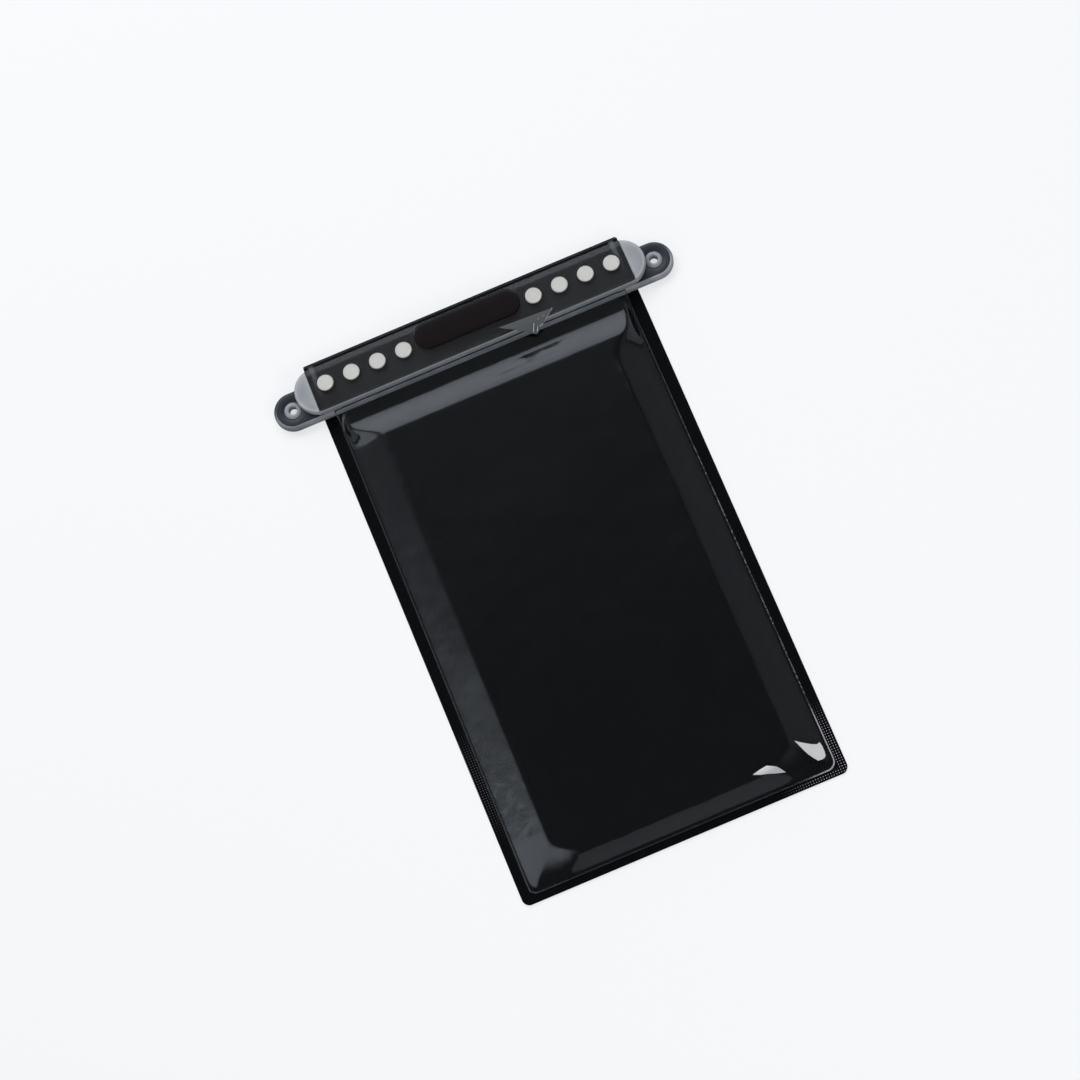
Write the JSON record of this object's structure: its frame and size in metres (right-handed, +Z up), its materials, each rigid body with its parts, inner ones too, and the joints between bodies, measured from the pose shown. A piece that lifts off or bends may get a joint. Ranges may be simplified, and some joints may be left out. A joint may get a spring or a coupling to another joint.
{
  "type": "waterproof phone pouch",
  "caption": "Flat waterproof pouch for a phone, with a clear front window, a black fabric back and a magnetic closure whose rear strip ends in eyelet ears.",
  "frame": {"origin": "under the middle of the pouch, on the surface that it lies on", "axes": "+X across the pouch, +Y towards the mouth and the closure, +Z up out of the window"},
  "size_m": [0.147, 0.2012, 0.0092],
  "materials": {
    "coated_fabric": "black coated fabric with a fine woven mesh",
    "black_rubber": "satin black moulded thermoplastic rubber",
    "lip_rubber": "matte black hem",
    "clear_film": "clear flexible plastic film, glossy",
    "clear_rubber": "clear moulded thermoplastic rubber, slightly milky",
    "badge_gloss": "gloss black-brown",
    "magnet_plating": "pale satin plating"
  },
  "bodies": {
    "root": {"back_panel": "coated_fabric", "rear_closure_strip": "black_rubber", "front_lip": "lip_rubber", "front_window": "clear_film", "front_closure_strip": "clear_rubber", "badge_plate": "badge_gloss", "rear_magnet_01": "magnet_plating", "rear_magnet_02": "magnet_plating", "rear_magnet_03": "magnet_plating", "rear_magnet_04": "magnet_plating", "rear_magnet_05": "magnet_plating", "rear_magnet_06": "magnet_plating", "rear_magnet_07": "magnet_plating", "rear_magnet_08": "magnet_plating", "rear_magnet_09": "magnet_plating", "rear_magnet_10": "magnet_plating", "rear_magnet_11": "magnet_plating", "rear_magnet_12": "magnet_plating", "front_magnet_01": "magnet_plating", "front_magnet_02": "magnet_plating", "front_magnet_03": "magnet_plating", "front_magnet_04": "magnet_plating", "front_magnet_05": "magnet_plating", "front_magnet_06": "magnet_plating", "front_magnet_07": "magnet_plating", "front_magnet_08": "magnet_plating", "front_magnet_09": "magnet_plating", "front_magnet_10": "magnet_plating", "front_magnet_11": "magnet_plating", "front_magnet_12": "magnet_plating"}
  },
  "joints": []
}
